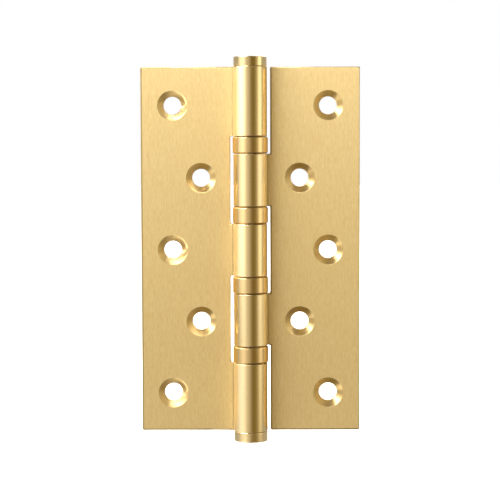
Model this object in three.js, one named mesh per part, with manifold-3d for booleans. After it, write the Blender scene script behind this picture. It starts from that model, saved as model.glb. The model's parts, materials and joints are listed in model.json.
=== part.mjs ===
// Ball-bearing butt hinge, 5 x 3 inch, opened flat.
//
// Two brass leaves with interleaved knuckles turn about a steel pin. A crimped ball bearing sits between
// each pair of neighbouring knuckles, and a flat finial is screwed into each end of the pin.
//
// Millimetres. +Z runs up the pin, +X lies across the open leaves towards the door leaf, and the
// countersunk faces look along -Y. The origin is the middle of the pin's axis.

import * as THREE from 'three';
import { mergeVertices } from 'three/addons/utils/BufferGeometryUtils.js';
import Module from 'manifold-3d';

const wasm = await Module();
wasm.setup();

// Leaves
const LEAF_HEIGHT = 127;
const OPEN_WIDTH = 76.2;
const LEAF_THICKNESS = 3;
const CLOSED_GAP = 2;
const CUTOUT_CLEARANCE = 0.83;
const FRONT_FILLET = 0.8;
const BACK_FILLET = 1.5;

// Barrel: five knuckles with a bearing between each pair
const KNUCKLE_RADIUS = 5.85;
const MIDDLE_KNUCKLE_HEIGHT = 18.1;
const MIDDLE_KNUCKLES = 3;
const BEARINGS = 4;
const BEARING_SPACE = 6.2;
const BEARING_RADIUS = 6.12;

// Pin and finials
const PIN_RADIUS = 2.75;
const BORE_RADIUS = 2.85;
const PIN_END_GAP = 0.1;
const TAPPED_RADIUS = 2.05;
const TAPPED_DEPTH = 10;
const STUD_RADIUS = 1.95;
const STUD_LENGTH = 8.5;
const FINIAL_RADIUS = 5.8;
const FINIAL_HEIGHT = 3.4;
const FINIAL_EDGE = 0.3;
const FINIAL_SEAT_GAP = 0.03;

// Screw holes: three in the outer row and two in the inner row of each leaf
const SCREW_RADIUS = 3.1;
const COUNTERSINK_RADIUS = 5.2;
const OUTER_ROW_X = 27.1;
const INNER_ROW_X = 17.2;
const SCREW_PITCH = 25.1;

// Inside a bearing
const SHELL_WALL = 0.45;
const SHELL_LIP = 0.4;
const SHELL_EDGE = 0.45;
const SHELL_GAP = 0.1;
const RACE_GAP = 0.04;
const COLLAR_RADIUS = 4.5;
const LIP_CLEARANCE = 0.1;
const RACE_RADIUS = 5.6;
const RACE_FACE = 0.7;
const BALL_RADIUS = 1;
const BALL_PITCH_RADIUS = 4.25;
const BALLS_PER_BEARING = 8;
const GROOVE_RADIUS = 1.12;
const CAGE_HALF_HEIGHT = 0.42;
const CAGE_INNER_RADIUS = 3;
const CAGE_OUTER_RADIUS = 5.5;
const POCKET_RADIUS = 1.15;

// Facets in a full turn
const BARREL_FACETS = 36;
const BORE_FACETS = 24;
const SCREW_FACETS = 16;
const BEARING_FACETS = 28;
const RACE_FACETS = 20;
const POCKET_FACETS = 8;

// Worked out from the dimensions above
const HALF_HEIGHT = LEAF_HEIGHT / 2;
const HALF_WIDTH = OPEN_WIDTH / 2;
const LEAF_FRONT = CLOSED_GAP / 2;
const LEAF_BACK = LEAF_FRONT + LEAF_THICKNESS;
const CUTOUT_EDGE = BEARING_RADIUS + CUTOUT_CLEARANCE;
const CUTTER_MARGIN = 2;
const MIDDLE_STACK = MIDDLE_KNUCKLES * MIDDLE_KNUCKLE_HEIGHT + BEARINGS * BEARING_SPACE;
const END_KNUCKLE_HEIGHT = (LEAF_HEIGHT - MIDDLE_STACK) / 2;

const FRAME_SIDE = -1;
const DOOR_SIDE = 1;

const COLOURS = {
  leafBrass: { color: 0xdcb877, roughness: 0.3, metalness: 1 },
  bearingBrass: { color: 0xd2a868, roughness: 0.25, metalness: 1 },
  finialBrass: { color: 0xe0c088, roughness: 0.15, metalness: 1 },
  pinSteel: { color: 0x9ea2a6, roughness: 0.3, metalness: 1 },
  raceSteel: { color: 0x8a8d91, roughness: 0.35, metalness: 1 },
  cageBrass: { color: 0xb8924f, roughness: 0.4, metalness: 1 },
  ballSteel: { color: 0xd8dadd, roughness: 0.08, metalness: 1 },
};

// A closed geometry as a solid that can be cut.
function toSolid(geometry) {
  const shape = geometry.clone();
  shape.deleteAttribute('normal');
  shape.deleteAttribute('uv');
  const merged = mergeVertices(shape);
  return new wasm.Manifold(new wasm.Mesh({
    numProp: 3,
    vertProperties: new Float32Array(merged.attributes.position.array),
    triVerts: new Uint32Array(merged.index.array),
  }));
}

// A cut solid back as a geometry.
function toGeometry(solid) {
  const mesh = solid.getMesh();
  const geometry = new THREE.BufferGeometry();
  geometry.setAttribute('position', new THREE.BufferAttribute(new Float32Array(mesh.vertProperties), 3));
  geometry.setIndex(new THREE.BufferAttribute(new Uint32Array(mesh.triVerts), 1));
  geometry.computeVertexNormals();
  return geometry;
}

function subtractAll(geometry, cutters) {
  let solid = toSolid(geometry);
  for (const cutter of cutters) {
    solid = solid.subtract(toSolid(cutter));
  }
  return toGeometry(solid);
}

// Points along an arc, both ends included. Angles are in radians.
function arcPoints(centreX, centreY, radius, from, to, steps) {
  const points = [];
  for (let i = 0; i <= steps; i++) {
    const angle = from + ((to - from) * i) / steps;
    points.push(new THREE.Vector2(centreX + radius * Math.cos(angle), centreY + radius * Math.sin(angle)));
  }
  return points;
}

// A solid of revolution about Z. The profile holds [radius, z] pairs and runs anticlockwise, so that its
// outer side goes up. One that touches the axis starts and ends there; any other closes on itself.
function turned(profile, facets) {
  const points = profile.map(([radius, z]) => new THREE.Vector2(radius, z));
  if (points[0].x > 0) {
    points.push(points[0].clone());
  }
  const geometry = new THREE.LatheGeometry(points, facets);
  geometry.rotateX(Math.PI / 2);
  return toGeometry(toSolid(geometry));
}

// The profile turned upside down, still anticlockwise.
function upsideDown(profile) {
  return profile.map(([radius, z]) => [radius, -z]).reverse();
}

function named(name, geometry, finish) {
  const mesh = new THREE.Mesh(geometry, new THREE.MeshStandardMaterial(finish));
  mesh.name = name;
  return mesh;
}

// Heights along the pin, from the top down: each knuckle and each bearing space.
function barrelStack() {
  const knuckles = [];
  const bearingCentres = [];
  let top = HALF_HEIGHT;
  for (let i = 0; i <= BEARINGS; i++) {
    const isEnd = i === 0 || i === BEARINGS;
    const bottom = top - (isEnd ? END_KNUCKLE_HEIGHT : MIDDLE_KNUCKLE_HEIGHT);
    knuckles.push({ top, bottom });
    if (i < BEARINGS) {
      bearingCentres.push(bottom - BEARING_SPACE / 2);
    }
    top = bottom - BEARING_SPACE;
  }
  return { knuckles, bearingCentres };
}

const stack = barrelStack();

// The leaf and its knuckle in section across the pin: a flat plate that runs into a round barrel, with a
// small fillet in front and a larger one behind.
function leafSection(side) {
  const frontX = Math.sqrt((KNUCKLE_RADIUS + FRONT_FILLET) ** 2 - (LEAF_FRONT - FRONT_FILLET) ** 2);
  const backX = Math.sqrt((KNUCKLE_RADIUS + BACK_FILLET) ** 2 - (LEAF_BACK + BACK_FILLET) ** 2);
  const frontAngle = Math.atan2(LEAF_FRONT - FRONT_FILLET, frontX);
  const backAngle = Math.atan2(LEAF_BACK + BACK_FILLET, backX);
  const barrelSweep = 2 * Math.PI - (backAngle - frontAngle);
  const barrelSteps = Math.round((BARREL_FACETS * barrelSweep) / (2 * Math.PI));

  const frontFillet = arcPoints(frontX, LEAF_FRONT - FRONT_FILLET, FRONT_FILLET,
    Math.PI / 2, Math.PI + frontAngle, 4);
  const barrel = arcPoints(0, 0, KNUCKLE_RADIUS, frontAngle, frontAngle - barrelSweep, barrelSteps);
  const backFillet = arcPoints(backX, LEAF_BACK + BACK_FILLET, BACK_FILLET,
    Math.PI + backAngle, 1.5 * Math.PI, 3);

  const outline = [
    new THREE.Vector2(HALF_WIDTH, LEAF_FRONT),
    ...frontFillet,
    ...barrel.slice(1),
    ...backFillet.slice(1),
    new THREE.Vector2(HALF_WIDTH, LEAF_BACK),
  ];
  return new THREE.Shape(outline.map((point) => new THREE.Vector2(side * point.x, point.y)));
}

// The space that the other leaf's knuckles and the bearings need, cut square through the plate.
function cutoutCutter(side, top, bottom) {
  const inner = -(KNUCKLE_RADIUS + CUTTER_MARGIN);
  const depth = 2 * (KNUCKLE_RADIUS + CUTTER_MARGIN);
  const box = new THREE.BoxGeometry(CUTOUT_EDGE - inner, depth, top - bottom);
  box.translate((side * (CUTOUT_EDGE + inner)) / 2, 0, (top + bottom) / 2);
  return box;
}

// One cutter for each stretch of a leaf's edge that has no knuckle. A real cut-out is taller than a bearing.
function cutoutCutters(side) {
  const ownFirst = side === FRAME_SIDE ? 0 : 1;
  const own = stack.knuckles.filter((knuckle, i) => i % 2 === ownFirst);
  const tops = [HALF_HEIGHT + CUTTER_MARGIN, ...own.map((knuckle) => knuckle.bottom)];
  const bottoms = [...own.map((knuckle) => knuckle.top), -HALF_HEIGHT - CUTTER_MARGIN];
  return tops
    .map((top, i) => ({ top, bottom: bottoms[i] }))
    .filter(({ top, bottom }) => top - bottom > BEARING_SPACE)
    .map(({ top, bottom }) => cutoutCutter(side, top, bottom));
}

function boreCutter() {
  return new THREE.CylinderGeometry(BORE_RADIUS, BORE_RADIUS, LEAF_HEIGHT + CUTTER_MARGIN, BORE_FACETS)
    .rotateX(Math.PI / 2);
}

// One screw hole with a 90 degree countersink that opens towards -Y.
function screwCutter(x, z) {
  const countersinkDepth = COUNTERSINK_RADIUS - SCREW_RADIUS;
  const frontEnd = -(LEAF_FRONT - CUTTER_MARGIN);
  const profile = [
    [0, -LEAF_BACK - CUTTER_MARGIN],
    [SCREW_RADIUS, -LEAF_BACK - CUTTER_MARGIN],
    [SCREW_RADIUS, -LEAF_FRONT - countersinkDepth],
    [COUNTERSINK_RADIUS, -LEAF_FRONT],
    [COUNTERSINK_RADIUS, frontEnd],
    [0, frontEnd],
  ];
  return turned(profile, SCREW_FACETS).rotateX(Math.PI / 2).translate(x, 0, z);
}

function screwCutters(side) {
  const outer = [-2, 0, 2].map((step) => screwCutter(side * OUTER_ROW_X, step * SCREW_PITCH));
  const inner = [-1, 1].map((step) => screwCutter(side * INNER_ROW_X, step * SCREW_PITCH));
  return [...outer, ...inner];
}

function leaf(name, side) {
  const blank = new THREE.ExtrudeGeometry(leafSection(side), { depth: LEAF_HEIGHT, bevelEnabled: false });
  blank.translate(0, 0, -HALF_HEIGHT);
  const cutters = [...cutoutCutters(side), boreCutter(), ...screwCutters(side)];
  return named(name, subtractAll(blank, cutters), COLOURS.leafBrass);
}

// A plain pin with a tapped blind hole in each end.
function hingePin() {
  const end = HALF_HEIGHT - PIN_END_GAP;
  const profile = [
    [0, -end + TAPPED_DEPTH],
    [TAPPED_RADIUS, -end + TAPPED_DEPTH],
    [TAPPED_RADIUS, -end],
    [PIN_RADIUS, -end],
    [PIN_RADIUS, end],
    [TAPPED_RADIUS, end],
    [TAPPED_RADIUS, end - TAPPED_DEPTH],
    [0, end - TAPPED_DEPTH],
  ];
  return named('hinge_pin', turned(profile, BORE_FACETS), COLOURS.pinSteel);
}

// A flat button with broken edges and a stud that screws into the pin.
function topFinialProfile() {
  const seat = HALF_HEIGHT + FINIAL_SEAT_GAP;
  const top = HALF_HEIGHT + FINIAL_HEIGHT;
  return [
    [0, seat - STUD_LENGTH],
    [STUD_RADIUS, seat - STUD_LENGTH],
    [STUD_RADIUS, seat],
    [FINIAL_RADIUS - FINIAL_EDGE, seat],
    [FINIAL_RADIUS, seat + FINIAL_EDGE],
    [FINIAL_RADIUS, top - FINIAL_EDGE],
    [FINIAL_RADIUS - FINIAL_EDGE, top],
    [0, top],
  ];
}

function finials() {
  const profile = topFinialProfile();
  return [
    named('top_finial', turned(profile, BARREL_FACETS), COLOURS.finialBrass),
    named('bottom_finial', turned(upsideDown(profile), BARREL_FACETS), COLOURS.finialBrass),
  ];
}

// The crimped outer ring: a thin wall with a lip turned in at each end.
function shellProfile() {
  const half = BEARING_SPACE / 2 - SHELL_GAP;
  const lipRadius = COLLAR_RADIUS + LIP_CLEARANCE;
  const inside = BEARING_RADIUS - SHELL_WALL;
  return [
    [lipRadius, -half],
    [BEARING_RADIUS - SHELL_EDGE, -half],
    [BEARING_RADIUS, -half + SHELL_EDGE],
    [BEARING_RADIUS, half - SHELL_EDGE],
    [BEARING_RADIUS - SHELL_EDGE, half],
    [lipRadius, half],
    [lipRadius, half - SHELL_LIP],
    [inside, half - SHELL_LIP],
    [inside, -half + SHELL_LIP],
    [lipRadius, -half + SHELL_LIP],
  ];
}

// The upper race: a hardened washer with a ball groove under it and a collar that bears on the knuckle.
function upperRaceProfile() {
  const top = BEARING_SPACE / 2 - RACE_GAP;
  const flangeTop = BEARING_SPACE / 2 - SHELL_GAP - SHELL_LIP - LIP_CLEARANCE;
  const grooveHalf = Math.sqrt(GROOVE_RADIUS ** 2 - RACE_FACE ** 2);
  const grooveFloor = GROOVE_RADIUS * Math.cos(Math.PI / 8);
  const grooveFloorHalf = GROOVE_RADIUS * Math.sin(Math.PI / 8);
  return [
    [BORE_RADIUS, RACE_FACE],
    [BALL_PITCH_RADIUS - grooveHalf, RACE_FACE],
    [BALL_PITCH_RADIUS - grooveFloorHalf, grooveFloor],
    [BALL_PITCH_RADIUS + grooveFloorHalf, grooveFloor],
    [BALL_PITCH_RADIUS + grooveHalf, RACE_FACE],
    [RACE_RADIUS, RACE_FACE],
    [RACE_RADIUS, flangeTop],
    [COLLAR_RADIUS, flangeTop],
    [COLLAR_RADIUS, top],
    [BORE_RADIUS, top],
  ];
}

// Where each ball sits, as an angle about the pin.
function ballAngle(index) {
  return (2 * Math.PI * index) / BALLS_PER_BEARING;
}

// A flat ring with one round pocket for each ball.
function cageGeometry() {
  const ring = new THREE.Shape(arcPoints(0, 0, CAGE_OUTER_RADIUS, 0, 2 * Math.PI, RACE_FACETS).slice(1));
  ring.holes.push(new THREE.Path(arcPoints(0, 0, CAGE_INNER_RADIUS, 0, 2 * Math.PI, RACE_FACETS).slice(1)));
  for (let i = 0; i < BALLS_PER_BEARING; i++) {
    const x = BALL_PITCH_RADIUS * Math.cos(ballAngle(i));
    const y = BALL_PITCH_RADIUS * Math.sin(ballAngle(i));
    ring.holes.push(new THREE.Path(arcPoints(x, y, POCKET_RADIUS, 0, 2 * Math.PI, POCKET_FACETS).slice(1)));
  }
  const cage = new THREE.ExtrudeGeometry(ring, { depth: 2 * CAGE_HALF_HEIGHT, bevelEnabled: false });
  cage.translate(0, 0, -CAGE_HALF_HEIGHT);
  return toGeometry(toSolid(cage));
}

function balls(label) {
  const pieces = [];
  for (let i = 0; i < BALLS_PER_BEARING; i++) {
    const geometry = toGeometry(toSolid(new THREE.IcosahedronGeometry(BALL_RADIUS, 1)));
    const ball = named(`${label}_ball_${i + 1}`, geometry, COLOURS.ballSteel);
    const angle = ballAngle(i);
    ball.position.set(BALL_PITCH_RADIUS * Math.cos(angle), BALL_PITCH_RADIUS * Math.sin(angle), 0);
    pieces.push(ball);
  }
  return pieces;
}

// One bearing, placed by its group at its height on the pin.
function bearing(number, centreZ) {
  const label = `bearing_${number}`;
  const upperRace = upperRaceProfile();
  const group = new THREE.Group();
  group.position.z = centreZ;
  group.add(
    named(`${label}_shell`, turned(shellProfile(), BEARING_FACETS), COLOURS.bearingBrass),
    named(`${label}_upper_race`, turned(upperRace, RACE_FACETS), COLOURS.raceSteel),
    named(`${label}_lower_race`, turned(upsideDown(upperRace), RACE_FACETS), COLOURS.raceSteel),
    named(`${label}_ball_cage`, cageGeometry(), COLOURS.cageBrass),
    ...balls(label),
  );
  return group;
}

function hinge() {
  const group = new THREE.Group();
  group.add(leaf('frame_leaf', FRAME_SIDE), leaf('door_leaf', DOOR_SIDE), hingePin(), ...finials());
  stack.bearingCentres.forEach((centreZ, i) => group.add(bearing(i + 1, centreZ)));
  return group;
}

export default hinge();
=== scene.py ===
# %% [markdown]
# # A brass butt hinge with ball bearings
# The hinge's sizes, its parts and the way it swings are settled already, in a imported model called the
# frame. This notebook gives each part the fine surface and the finish of the real thing. Nothing here
# moves or resizes a part: every length is read from the frame, or is a small detail such as the width of
# a broken edge.
#
# Lengths are in metres. Z runs up the pin, X lies across the open leaves, and the countersunk faces look
# along -Y.

import json
import math

import bmesh
import bpy
import numpy as np
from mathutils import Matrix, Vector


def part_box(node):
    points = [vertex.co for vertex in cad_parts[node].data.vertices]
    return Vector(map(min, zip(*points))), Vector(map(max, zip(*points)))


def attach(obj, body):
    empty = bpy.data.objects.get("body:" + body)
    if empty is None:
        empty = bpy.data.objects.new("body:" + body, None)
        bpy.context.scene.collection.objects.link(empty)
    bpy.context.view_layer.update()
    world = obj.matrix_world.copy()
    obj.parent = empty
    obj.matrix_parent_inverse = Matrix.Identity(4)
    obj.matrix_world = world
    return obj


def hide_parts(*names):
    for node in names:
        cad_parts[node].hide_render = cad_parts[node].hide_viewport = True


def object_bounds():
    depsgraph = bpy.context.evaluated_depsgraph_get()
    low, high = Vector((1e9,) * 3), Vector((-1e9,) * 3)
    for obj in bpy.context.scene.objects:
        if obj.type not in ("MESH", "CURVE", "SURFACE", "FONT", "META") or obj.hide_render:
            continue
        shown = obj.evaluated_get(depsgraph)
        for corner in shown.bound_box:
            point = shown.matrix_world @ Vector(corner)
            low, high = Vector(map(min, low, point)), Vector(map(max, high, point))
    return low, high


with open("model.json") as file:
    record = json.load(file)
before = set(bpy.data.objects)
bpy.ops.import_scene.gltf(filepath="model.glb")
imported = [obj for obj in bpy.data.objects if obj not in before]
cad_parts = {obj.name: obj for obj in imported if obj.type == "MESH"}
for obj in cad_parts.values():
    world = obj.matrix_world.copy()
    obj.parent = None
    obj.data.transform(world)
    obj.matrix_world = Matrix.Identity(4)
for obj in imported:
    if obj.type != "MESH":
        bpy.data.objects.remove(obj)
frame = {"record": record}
cad_low, cad_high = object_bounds()
MM = 0.001
print("box in mm:", [round(side / MM, 1) for side in cad_high - cad_low])

# %% [markdown]
# ## Reading the sizes
# A part's box gives most of its sizes. The leaf's box gives the plate's outline, a bearing's box gives
# its height on the pin, and the mount on the frame leaf's back gives the plane of the back face. The
# record also holds a box for each screw hole, and the middle of that box is the hole's axis. The few
# sizes that no box shows, such as the plate's thickness, are named here once.

# %% Sizes from the frame
leaf_low, leaf_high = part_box("frame_leaf")
HALF_HEIGHT = leaf_high.z
HALF_WIDTH = -leaf_low.x

PLATE_THICKNESS = 3.0 * MM
mount = next(m for m in frame["record"]["mounts"] if m["name"] == "jamb_face")
PLATE_BACK = mount["pos_m"][1]
PLATE_FRONT = PLATE_BACK - PLATE_THICKNESS

KNUCKLE_RADIUS = 5.85 * MM
BORE_RADIUS = 2.85 * MM
FRONT_FILLET = 0.8 * MM
BACK_FILLET = 1.5 * MM
BEARING_GAP = 0.1 * MM

bearing_boxes = [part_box(f"bearing_{number}_shell") for number in (1, 2, 3, 4)]
BEARING_RADIUS = bearing_boxes[0][1].y
CUTOUT_EDGE = BEARING_RADIUS + 0.83 * MM

knuckle_tops = [HALF_HEIGHT] + [low.z - BEARING_GAP for low, high in bearing_boxes]
knuckle_bottoms = [high.z + BEARING_GAP for low, high in bearing_boxes] + [-HALF_HEIGHT]
KNUCKLES = list(zip(knuckle_bottoms, knuckle_tops))

hole_boxes = {hole["name"]: np.array(hole["box_m"]) for hole in frame["record"]["physics"]["openings"]}
door_holes = [box.mean(axis=0) for name, box in hole_boxes.items() if name.startswith("door")]
SCREW_HOLES = [(x, z) for x, y, z in door_holes]
SCREW_RADIUS = 3.1 * MM
COUNTERSINK_RADIUS = 5.2 * MM
print("knuckles, mm:", [(round(low / MM, 2), round(high / MM, 2)) for low, high in KNUCKLES])
print("screw holes, mm:", [(round(x / MM, 2), round(z / MM, 2)) for x, z in SCREW_HOLES])

# %% [markdown]
# ## Surfaces from grids of points
# Each surface is a function of two numbers, worked out at once for a whole grid of points. Neighbouring
# points are joined by four-sided faces. A part is a few such sheets whose edges meet point for point.
# Welding those seams makes one closed skin, and the faces are then turned to look outwards. A modelling
# tool such as a boolean cut would give the same shape, but with long thin faces that shade badly beside
# a bevel.

# %% Sheets, and pieces made of them
def sheet(points, close_rows=False, close_columns=False):
    """A grid of points, shape (rows, columns, 3), with a quad between each four neighbours.

    Closing the rows or columns joins the last one back to the first.
    """
    rows, columns = points.shape[:2]
    index = np.arange(rows * columns).reshape(rows, columns)
    if close_rows:
        index = np.vstack([index, index[:1]])
    if close_columns:
        index = np.hstack([index, index[:, :1]])
    corners = [index[:-1, :-1], index[:-1, 1:], index[1:, 1:], index[1:, :-1]]
    return points.reshape(-1, 3), np.stack(corners, axis=-1).reshape(-1, 4)


WELD = 0.002 * MM


def add_mesh(name, points, faces):
    """A mesh from arrays of points and faces."""
    mesh = bpy.data.meshes.new(name)
    mesh.from_pydata(points.tolist(), [], faces.tolist())
    return mesh


def add_object(name, mesh):
    """Puts a mesh in the scene as an object."""
    thing = bpy.data.objects.new(name, mesh)
    bpy.context.scene.collection.objects.link(thing)
    return thing


def piece_from(name, sheets):
    """One smooth-shaded object from sheets: points listed end to end, seams welded, faces outwards.

    Points that no face uses, such as those inside a hole's cell, are left out.
    """
    counts = [len(points) for points, faces in sheets]
    starts = np.cumsum([0] + counts[:-1])
    points = np.concatenate([points for points, faces in sheets])
    faces = np.concatenate([faces + start for (_, faces), start in zip(sheets, starts)])
    used, faces = np.unique(faces, return_inverse=True)
    mesh = add_mesh(name, points[used], faces.reshape(-1, 4))
    skin = bmesh.new()
    skin.from_mesh(mesh)
    bmesh.ops.remove_doubles(skin, verts=skin.verts, dist=WELD)
    bmesh.ops.recalc_face_normals(skin, faces=skin.faces)
    open_edges = sum(not edge.is_manifold for edge in skin.edges)
    skin.to_mesh(mesh)
    skin.free()
    mesh.shade_smooth()
    print(f"{name}: {len(mesh.polygons)} faces, {open_edges} open edges")
    return add_object(name, mesh)


# %% [markdown]
# ## Turned shapes
# Finials, pin, bearing rings and balls are all turned on a lathe. Such a shape is an outline in radius
# and height, spun round the pin. The outline is given by its corners, each with the radius that rounds
# it, because a real turned edge is never perfectly sharp and the small round is what catches the light.
# Long straight runs get points in between, which keeps the shading of flat walls flat.

# %% Outlines with round corners, spun round the pin
CORNER_STEPS = 6
LONGEST_RUN = 0.5 * MM
TURN_STEPS = 144
SMALL_ROUND = 0.1 * MM


def round_corner(before, corner, after, radius):
    """The arc that rounds a corner: centre on the bisector, radius / sin(half angle) from the corner."""
    to_before = (before - corner) / np.linalg.norm(before - corner)
    to_after = (after - corner) / np.linalg.norm(after - corner)
    half = math.acos(np.clip(to_before @ to_after, -1, 1)) / 2
    bisector = (to_before + to_after) / np.linalg.norm(to_before + to_after)
    centre = corner + bisector * radius / math.sin(half)
    first = corner + to_before * radius / math.tan(half) - centre
    last = corner + to_after * radius / math.tan(half) - centre
    turn = math.pi - 2 * half
    share = np.linspace(0, 1, CORNER_STEPS + 1)[:, None]
    return centre + (np.sin((1 - share) * turn) * first + np.sin(share * turn) * last) / math.sin(turn)


def rounded_outline(corners, closed=True):
    """An outline from (radius, height, rounding) corners, with extra points along its long runs."""
    places = np.array([corner[:2] for corner in corners])
    parts = []
    for number, (_, _, rounding) in enumerate(corners):
        is_end = not closed and number in (0, len(corners) - 1)
        if rounding and not is_end:
            following = places[(number + 1) % len(places)]
            parts.append(round_corner(places[number - 1], places[number], following, rounding))
        else:
            parts.append(places[number:number + 1])
    line = np.concatenate(parts + ([parts[0][:1]] if closed else []))
    runs = np.linalg.norm(np.diff(line, axis=0), axis=1)
    counts = np.maximum(1, np.ceil(runs / LONGEST_RUN)).astype(int)
    pieces = [
        start + (end - start) * (np.arange(count) / count)[:, None]
        for start, end, count in zip(line[:-1], line[1:], counts)
    ]
    return np.concatenate(pieces if closed else pieces + [line[-1:]])


def turned_sheet(outline, centre_z=0.0, steps=TURN_STEPS, closed=True):
    """x = r cos a, y = r sin a, z = height, for every outline point (r, height) and every angle a."""
    angle = np.linspace(0, 2 * math.pi, steps, endpoint=False)
    radius = outline[:, :1]
    height = np.broadcast_to(outline[:, 1:] + centre_z, (len(outline), steps))
    points = np.stack([radius * np.cos(angle), radius * np.sin(angle), height], axis=-1)
    return sheet(points, close_rows=closed, close_columns=True)


# %% [markdown]
# ## The two finials and the pin
# A finial is a flat button with a stud that screws into the pin's end. The top one is turned bright, the
# bottom one is satin like the knuckles. Both outlines start and end on the pin's axis, so the spin closes
# them at a pole.

# %% Finials and pin
top_finial_low, top_finial_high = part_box("top_finial")
FINIAL_RADIUS = 5.8 * MM
FINIAL_SEAT = HALF_HEIGHT + 0.03 * MM
FINIAL_EDGE = 0.22 * MM
STUD_RADIUS = 1.95 * MM
STUD_TIP = 0.4 * MM
STUD_END = top_finial_low.z

finial_corners = [
    (0, STUD_END, 0),
    (STUD_RADIUS, STUD_END, STUD_TIP),
    (STUD_RADIUS, FINIAL_SEAT, SMALL_ROUND),
    (FINIAL_RADIUS, FINIAL_SEAT, FINIAL_EDGE),
    (FINIAL_RADIUS, top_finial_high.z, FINIAL_EDGE),
    (0, top_finial_high.z, 0),
]
finial_outline = rounded_outline(finial_corners, closed=False)
top_finial = piece_from("top_finial_turned", [turned_sheet(finial_outline, closed=False)])
bottom_finial = piece_from("bottom_finial_turned", [turned_sheet(finial_outline * (1, -1), closed=False)])

pin_low, pin_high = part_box("hinge_pin")
PIN_RADIUS = 2.75 * MM
TAPPED_RADIUS = 2.05 * MM
TAPPED_DEPTH = 10 * MM
PIN_EDGE = 0.2 * MM
PIN_STEPS = 72
pin_corners = [
    (0, pin_low.z + TAPPED_DEPTH, 0),
    (TAPPED_RADIUS, pin_low.z + TAPPED_DEPTH, 0),
    (TAPPED_RADIUS, pin_low.z, SMALL_ROUND),
    (PIN_RADIUS, pin_low.z, PIN_EDGE),
    (PIN_RADIUS, pin_high.z, PIN_EDGE),
    (TAPPED_RADIUS, pin_high.z, SMALL_ROUND),
    (TAPPED_RADIUS, pin_high.z - TAPPED_DEPTH, 0),
    (0, pin_high.z - TAPPED_DEPTH, 0),
]
pin_outline = rounded_outline(pin_corners, closed=False)
pin = piece_from("hinge_pin_ground", [turned_sheet(pin_outline, steps=PIN_STEPS, closed=False)])

# %% [markdown]
# ## The four bearings
# From outside a bearing is one fat ring with bevelled edges. Inside, two hardened races face each other
# with a groove in each, and eight balls in a flat cage roll between them. The ring's lips are crimped over
# both races and hold the stack together. Each race's collar stands a hair proud of the lips, so that the
# knuckles press on the races and not on the ring.

# %% Bearing outlines
SHELL_WALL = 0.45 * MM
SHELL_LIP = 0.4 * MM
SHELL_EDGE = 0.5 * MM
BEVEL_ROUND = 0.14 * MM
LIP_ROUND = 0.12 * MM
RACE_ROUND = 0.08 * MM
CLEARANCE = 0.1 * MM
COLLAR_RADIUS = 4.5 * MM
RACE_RADIUS = 5.6 * MM
RACE_FACE = 0.7 * MM
BALL_RADIUS = 1.0 * MM
BALL_PITCH_RADIUS = 4.25 * MM
BALLS = 8
GROOVE_RADIUS = 1.05 * MM
CAGE_HALF_HEIGHT = 0.42 * MM
CAGE_INNER_RADIUS = 3.0 * MM
CAGE_OUTER_RADIUS = 5.5 * MM
POCKET_RADIUS = 1.12 * MM

first_low, first_high = bearing_boxes[0]
SHELL_HALF = (first_high.z - first_low.z) / 2
FIRST_CENTRE = (first_high.z + first_low.z) / 2
COLLAR_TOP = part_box("bearing_1_upper_race")[1].z - FIRST_CENTRE
FLANGE_TOP = SHELL_HALF - SHELL_LIP - CLEARANCE


def shell_outline():
    """A thin wall with a lip turned in at each end and its outer edges bevelled. Both halves are alike."""
    lip = COLLAR_RADIUS + CLEARANCE
    upper_half = [
        (BEARING_RADIUS, SHELL_HALF - SHELL_EDGE, BEVEL_ROUND),
        (BEARING_RADIUS - SHELL_EDGE, SHELL_HALF, BEVEL_ROUND),
        (lip, SHELL_HALF, LIP_ROUND),
        (lip, SHELL_HALF - SHELL_LIP, LIP_ROUND),
        (BEARING_RADIUS - SHELL_WALL, SHELL_HALF - SHELL_LIP, SMALL_ROUND),
    ]
    lower_half = [(radius, -height, rounding) for radius, height, rounding in reversed(upper_half)]
    return rounded_outline(upper_half + lower_half)


def upper_race_outline():
    """A washer whose lower face carries a groove, an arc round the ball circle, and a collar on top."""
    half_groove = math.sqrt(GROOVE_RADIUS ** 2 - RACE_FACE ** 2)
    reach = math.atan2(half_groove, RACE_FACE)
    angle = np.linspace(-reach, reach, 16)
    groove = np.stack([
        BALL_PITCH_RADIUS + GROOVE_RADIUS * np.sin(angle),
        GROOVE_RADIUS * np.cos(angle),
    ], axis=-1)
    rest = rounded_outline([
        (BALL_PITCH_RADIUS + half_groove, RACE_FACE, 0),
        (RACE_RADIUS, RACE_FACE, RACE_ROUND),
        (RACE_RADIUS, FLANGE_TOP, RACE_ROUND),
        (COLLAR_RADIUS, FLANGE_TOP, 0),
        (COLLAR_RADIUS, COLLAR_TOP, SMALL_ROUND),
        (BORE_RADIUS, COLLAR_TOP, SMALL_ROUND),
        (BORE_RADIUS, RACE_FACE, RACE_ROUND),
        (BALL_PITCH_RADIUS - half_groove, RACE_FACE, 0),
    ], closed=False)
    return np.concatenate([groove, rest[1:-1]])


# %% [markdown]
# The cage is a flat ring with a round pocket for each ball. A ring with holes is cut into eight equal
# sectors. In each sector the surface runs in straight lines from the pocket's edge out to the sector's
# border. Neighbouring sectors share the points of their common border, so they weld without a gap.

# %% The cage and the balls
SECTOR_STEPS = 10
RACE_STEPS = 96
BALL_STEPS = 48


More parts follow.
